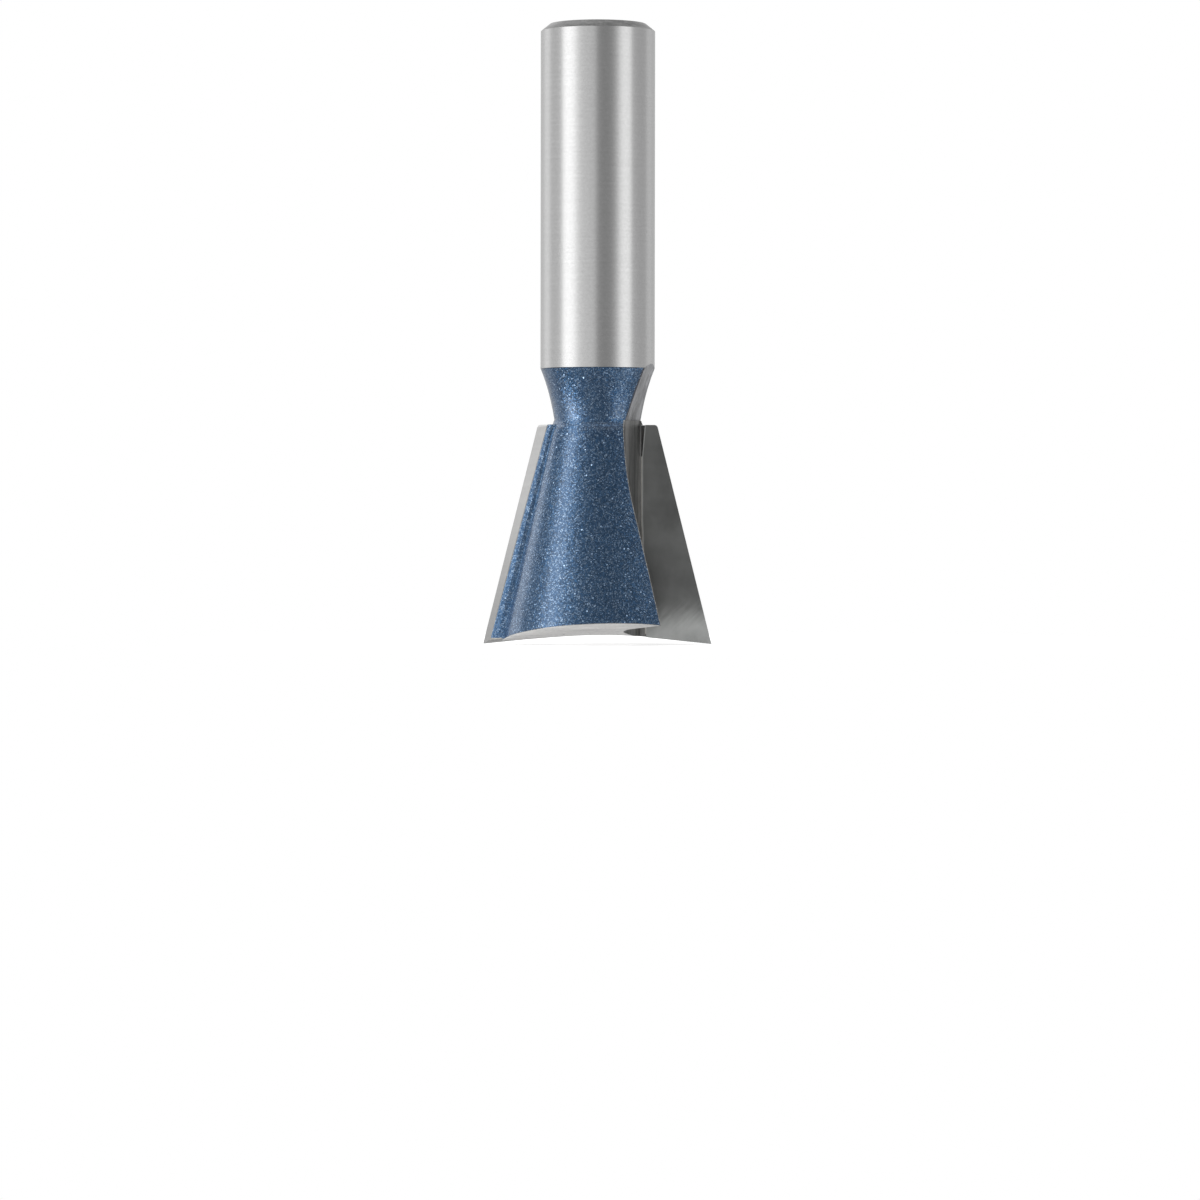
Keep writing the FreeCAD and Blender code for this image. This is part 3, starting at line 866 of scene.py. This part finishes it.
@dataclass
class SteelBody:
    """Turned and milled steel body, with the sizes in millimetres that tell its surfaces apart.

    Attributes:
        shank_top: height where the shank's chamfer starts.
        neck_top: height where the neck meets the shank.
        neck_arc: radius that the neck is turned to.
        neck_centre: distance from the axis, and height, of that radius's centre.
        waist: radius and height where the shoulder starts under the neck.
        lobe_top: radius and height where the lobes' cone starts.
        lobe_bottom: radius and height where it ends.
        lobe_end_top: height that the lobes' relieved ends stay below.
        seat_back: the wing's back behind the rake plane, past the tip's seat.
        turned_reach: most that a face's centre lies off the turned surface.
        turned_out: least outward part of a turned face's normal.
        turned_around: largest part of it around the axis.
        chamfer_up: least upward part of a face's normal at the shank's end.
        end_down: least downward part at the lobes' ends.
        seat_forward: least forward part at the seat.
        gullet: the gullets and their run-outs.
    """

    shank_top: float = 68.0
    neck_top: float = 30.6
    neck_arc: float = 22.0
    neck_centre: Pair = (26.685, 22.208)
    waist: Pair = (4.858, 24.95)
    lobe_top: Pair = (5.468, 23.55)
    lobe_bottom: Pair = (10.75, 0.25)
    lobe_end_top: float = 3.0
    seat_back: float = 1.7
    turned_reach: float = 0.12
    turned_out: float = 0.2
    turned_around: float = 0.12
    chamfer_up: float = 0.3
    end_down: float = 0.75
    seat_forward: float = 0.9
    gullet: GulletCut = GulletCut()

    def turned_radius(self, z: float) -> float:
        """Radius of the turned surface below the shank.

        Args:
            z: height.

        Returns:
            The radius there.
        """
        waist_radius, waist_height = self.waist
        top_radius, top_height = self.lobe_top
        bottom_radius, bottom_height = self.lobe_bottom
        if z > waist_height:
            return self.neck_centre[0] - math.sqrt(self.neck_arc**2 - (z - self.neck_centre[1]) ** 2)
        if z > top_height:
            share = (z - top_height) / (waist_height - top_height)
            return top_radius + share * share * (3.0 - 2.0 * share) * (waist_radius - top_radius)
        share = (z - bottom_height) / (top_height - bottom_height)
        return bottom_radius + share * (top_radius - bottom_radius)

    def zone(self, centre: Vector, normal: Vector) -> Zone:
        """Zone of a face of the body.

        Args:
            centre: the face's centre in millimetres.
            normal: the face's normal.

        Returns:
            Its zone.
        """
        radius = max(math.hypot(centre.x, centre.y), EDGE_SLACK_MM)
        outward = (normal.x * centre.x + normal.y * centre.y) / radius
        around = abs(normal.y * centre.x - normal.x * centre.y) / radius
        if self.gullet.on_runout(centre, normal):
            return Zone.RUNOUT
        if centre.z > self.shank_top - FACE_REACH_MM and normal.z > self.chamfer_up:
            return Zone.SHANK_END
        if centre.z > self.neck_top:
            return Zone.SHANK
        if normal.z < -self.end_down and centre.z < self.lobe_end_top:
            return Zone.LOBE_END
        turned = outward > self.turned_out and around < self.turned_around
        if turned and abs(radius - self.turned_radius(centre.z)) < self.turned_reach:
            return Zone.PAINT
        side = 1.0 if centre.x > 0 else -1.0
        depth = centre.y * side
        if depth > self.seat_back - EDGE_SLACK_MM and normal.y * side > -self.seat_forward:
            return Zone.PAINT
        return Zone.SEAT if depth > EDGE_SLACK_MM else Zone.GULLET

    def dress(self, finishes: Finishes) -> None:
        """Finish the body."""
        finishes.dress("steel_body", self.zone)


@dataclass
class CarbideTip:
    """One brazed carbide tip.

    Attributes:
        node: the solid's name.
        facing: direction that the rake face looks along Y.
        rake_forward: least part of a normal along that direction on the rake face.
        end_down: least downward part of it at the tip's end.
    """

    node: str
    facing: float
    rake_forward: float = 0.95
    end_down: float = 0.7

    def zone(self, centre: Vector, normal: Vector) -> Zone:
        """Zone of a face of the tip.

        Args:
            centre: the face's centre in millimetres.
            normal: the face's normal.

        Returns:
            Its zone.
        """
        if normal.y * self.facing > self.rake_forward and abs(centre.y) < FACE_REACH_MM:
            return Zone.RAKE
        return Zone.TIP_END if normal.z < -self.end_down else Zone.FLANK

    def dress(self, finishes: Finishes) -> None:
        """Finish the tip."""
        finishes.dress(self.node, self.zone)


@dataclass
class BrazeLayer:
    """Braze filler behind one tip.

    Attributes:
        node: the solid's name.
    """

    node: str

    def dress(self, finishes: Finishes) -> None:
        """Finish the filler."""
        finishes.dress(self.node, lambda centre, normal: Zone.BRAZE)


@dataclass
class Surroundings:
    """Soft boxes painted into the world, and white where the camera sees it.

    Attributes:
        level: light of the surroundings at eye level, by angle in degrees round from the camera.
        high: the same for what is reflected from above.
        low: the same for what is reflected from a little below the horizon.
        overhead: light from straight above.
        below: light from further down, in front.
        behind: the same behind the object.
        to_high: angles above the horizon between which level turns to high.
        to_overhead: angles between which high turns to overhead.
        to_low: angles between which level turns to low.
        to_ground: angles between which low turns to the light from further down.
        to_behind: parts of the direction along Y between which below turns to behind.
    """

    level: tuple[Pair, ...] = (
        (-180, 0.62), (-146, 0.68), (-122, 0.95), (-106, 0.68), (-86, 0.66), (-74, 1.22), (-60, 1.5),
        (-42, 1.08), (-30, 0.84), (-8, 0.74), (0, 0.42), (12, 0.32), (24, 0.34), (34, 0.5), (44, 0.9),
        (58, 1.25), (68, 1.15), (78, 0.58), (106, 0.5), (124, 0.68), (152, 0.58), (180, 0.62),
    )
    high: tuple[Pair, ...] = (
        (-180, 1.0), (-150, 1.3), (-126, 1.6), (-114, 1.0), (-100, 0.25), (-88, 0.4), (-78, 1.3),
        (-66, 2.3), (-54, 1.7), (-40, 0.6), (-20, 0.25), (0, 0.2), (40, 0.2), (70, 0.25), (120, 0.5),
        (180, 1.0),
    )
    low: tuple[Pair, ...] = (
        (-180, 0.4), (-120, 0.55), (-100, 0.6), (-82, 2.2), (-68, 4.6), (-56, 2.8), (-40, 0.9), (-20, 0.45),
        (0, 0.35), (20, 0.3), (38, 0.6), (52, 1.8), (66, 1.7), (82, 0.5), (120, 0.4), (180, 0.6),
    )
    overhead: float = 0.8
    below: float = 0.3
    behind: float = 0.85
    to_high: Pair = (7, 16)
    to_overhead: Pair = (30, 50)
    to_low: Pair = (-2, -11)
    to_ground: Pair = (-12, -25)
    to_behind: Pair = (0.25, 0.75)

    def build(self) -> None:
        """Make the world."""
        world = bpy.context.scene.world = bpy.data.worlds.new("studio")
        world.use_nodes = True
        graph = Graph(world.node_tree)
        light = self._light(graph)
        seen = graph.add("LightPath").outputs["Is Camera Ray"]
        strength = graph.lerp(seen, light, 1.0)
        graph.give(world.node_tree.nodes["Background"], {"Color": (1.0, 1.0, 1.0), "Strength": strength})
        log.info("surroundings: soft boxes in the world")

    def _light(self, graph: Graph) -> NodeSocket:
        """Level of light from each direction.

        Args:
            graph: the world's tree.

        Returns:
            The level.
        """
        x, y, z = graph.split(graph.add("TexCoord").outputs["Generated"])
        angle = graph.math("ARCTAN2", x, graph.product(y, -1.0))
        turn = graph.plus(0.5, angle, 0.5 / math.pi)
        light = self._bands(graph, turn, self.level)
        steps = (
            (self.to_high, self._bands(graph, turn, self.high)),
            (self.to_overhead, self.overhead),
            (self.to_low, self._bands(graph, turn, self.low)),
            (self.to_ground, graph.between(y, *self.to_behind, self.below, self.behind)),
        )
        for angles, other in steps:
            share = graph.between(z, *(math.sin(math.radians(angle)) for angle in angles))
            light = graph.lerp(share, light, other)
        return light

    def _bands(self, graph: Graph, turn: Value, stops: tuple[Pair, ...]) -> NodeSocket:
        """Light around the horizon.

        Args:
            graph: the world's tree.
            turn: direction as a share of a full turn, 0.5 towards the camera.
            stops: angles and levels.

        Returns:
            The level.
        """
        curve = graph.add("FloatCurve", {"Factor": 1.0, "Value": turn})
        points = curve.mapping.curves[0].points
        ceiling = max(level for _, level in stops)
        while len(points) < len(stops):
            points.new(0.5, 0.5)
        for point, (angle, level) in zip(points, stops):
            point.location = (angle / 360.0 + 0.5, level / ceiling)
            point.handle_type = "AUTO"
        curve.mapping.update()
        return graph.product(curve.outputs[0], ceiling)


@dataclass
class Floor:
    """Small pale floor that holds the object's shadow, fades out and isn't seen from below.

    Attributes:
        side: half its width, in metres.
        front: its front edge along Y, in metres.
        back: its back edge.
        sink: how far it lies below the tips' corners.
        colour: its colour.
        glow: light that it gives off, which softens the shadow.
        glow_seen: the same, added where the camera sees it.
        glow_mirrored: the same, added where metal mirrors it.
        left_fade: places along X between which it fades in, in millimetres.
        front_fade: the same along Y.
        round_fade: distances from the axis between which it does.
    """

    side: float = 0.09
    front: float = -0.06
    back: float = 0.09
    sink: float = 0.00005
    colour: Colour = (0.84, 0.84, 0.84)
    glow: float = 0.15
    glow_seen: float = 0.45
    glow_mirrored: float = 0.3
    left_fade: Pair = (-50.0, -15.0)
    front_fade: Pair = (-44.0, -10.0)
    round_fade: Pair = (75.0, 30.0)

    def build(self) -> None:
        """Make the floor."""
        mesh = bpy.data.meshes.new("floor")
        front = [(-self.side, self.front, 0), (self.side, self.front, 0)]
        back = [(self.side, self.back, 0), (-self.side, self.back, 0)]
        mesh.from_pydata(front + back, [], [(0, 1, 2, 3)])
        floor = bpy.data.objects.new("floor", mesh)
        floor.location.z = -self.sink
        bpy.context.scene.collection.objects.link(floor)
        mesh.materials.append(self._material())
        log.info("floor: pale, faded out")

    def _material(self) -> Material:
        """Make its material.

        Returns:
            The material.
        """
        material, graph, shader = new_material("pale_floor")
        path = graph.add("LightPath").outputs
        glow = graph.plus(self.glow, path["Is Camera Ray"], self.glow_seen)
        glow = graph.plus(glow, path["Is Glossy Ray"], self.glow_mirrored)
        x, y, _ = graph.axes
        reach = graph.measure("LENGTH", graph.combine(x, y))
        above = graph.minus(1.0, graph.add("NewGeometry").outputs["Backfacing"])
        solid = graph.product(
            graph.between(x, *self.left_fade),
            graph.between(y, *self.front_fade),
            graph.between(reach, *self.round_fade),
            above,
        )
        graph.give(shader, {
            "Base Color": self.colour,
            "Roughness": 0.9,
            "Alpha": solid,
            "Emission Color": (1.0, 1.0, 1.0),
            "Emission Strength": glow,
        })
        return material


@dataclass
class Lamp:
    """Soft lamp from the upper left, which casts the shadow but isn't mirrored in the metal.

    Attributes:
        place: where it hangs, in metres.
        aim: what it looks at.
        size: its width and height.
        watts: its power.
    """

    place: Triple = (-0.55, -0.5, 0.75)
    aim: Triple = (0.0, 0.0, 0.03)
    size: float = 0.5
    watts: float = 6.0

    def build(self) -> None:
        """Make the lamp."""
        data = bpy.data.lights.new("key", "AREA")
        data.shape = "RECTANGLE"
        data.size = self.size
        data.size_y = self.size
        data.energy = self.watts
        lamp = bpy.data.objects.new("key", data)
        lamp.location = self.place
        lamp.rotation_euler = (Vector(self.aim) - lamp.location).to_track_quat("-Z", "Y").to_euler()
        lamp.visible_glossy = False
        bpy.context.scene.collection.objects.link(lamp)
        log.info("lamp: %.1f W", self.watts)


@dataclass
class Camera:
    """Camera level with the head, in front of the cutter.

    Attributes:
        distance: from the axis, in metres.
        height: above the tip corners, in metres.
        focal_px: focal length in pixels of the frame.
        frame_px: width and height of the frame in pixels.
        horizon_px: column and row that look straight ahead.
        sensor_mm: width of the sensor.
        roll: turn about the line of sight, in degrees.
        clip: nearest and farthest distance that it sees, in metres.
    """

    distance: float = 0.535
    height: float = 0.013
    focal_px: float = 4810.0
    frame_px: float = 1200.0
    horizon_px: Pair = (597.3, 527.0)
    sensor_mm: float = 36.0
    roll: float = 0.07
    clip: Pair = (0.01, 20.0)

    def build(self) -> None:
        """Make the camera and give it to the scene."""
        data = bpy.data.cameras.new("camera")
        data.sensor_width = self.sensor_mm
        data.lens = self.focal_px / self.frame_px * self.sensor_mm
        data.clip_start, data.clip_end = self.clip
        centre = self.frame_px / 2
        pitch = math.atan((centre - self.horizon_px[1]) / self.focal_px)
        yaw = math.atan((centre - self.horizon_px[0]) / self.focal_px)
        camera = bpy.data.objects.new("camera", data)
        camera.location = (0.0, -self.distance, self.height)
        aim = Euler((math.pi / 2 - pitch, 0.0, -yaw)).to_matrix()
        camera.rotation_euler = (aim @ Matrix.Rotation(math.radians(self.roll), 3, "Z")).to_euler()
        bpy.context.scene.collection.objects.link(camera)
        bpy.context.scene.camera = camera
        bpy.context.scene.view_settings.view_transform = "Standard"
        log.info("camera: %.1f mm lens", data.lens)


def main() -> None:
    """Finish the solids, then build the studio and the camera."""
    logging.basicConfig(level=logging.INFO, format="%(name)s: %(message)s")
    finishes = Finishes()
    pieces = [
        SteelBody(),
        CarbideTip("carbide_tip_right", -1.0),
        CarbideTip("carbide_tip_left", 1.0),
        BrazeLayer("braze_layer_right"),
        BrazeLayer("braze_layer_left"),
    ]
    for piece in pieces:
        piece.dress(finishes)
    for surrounding in (Surroundings(), Floor(), Lamp(), Camera()):
        surrounding.build()


if __name__ == "__main__":
    main()
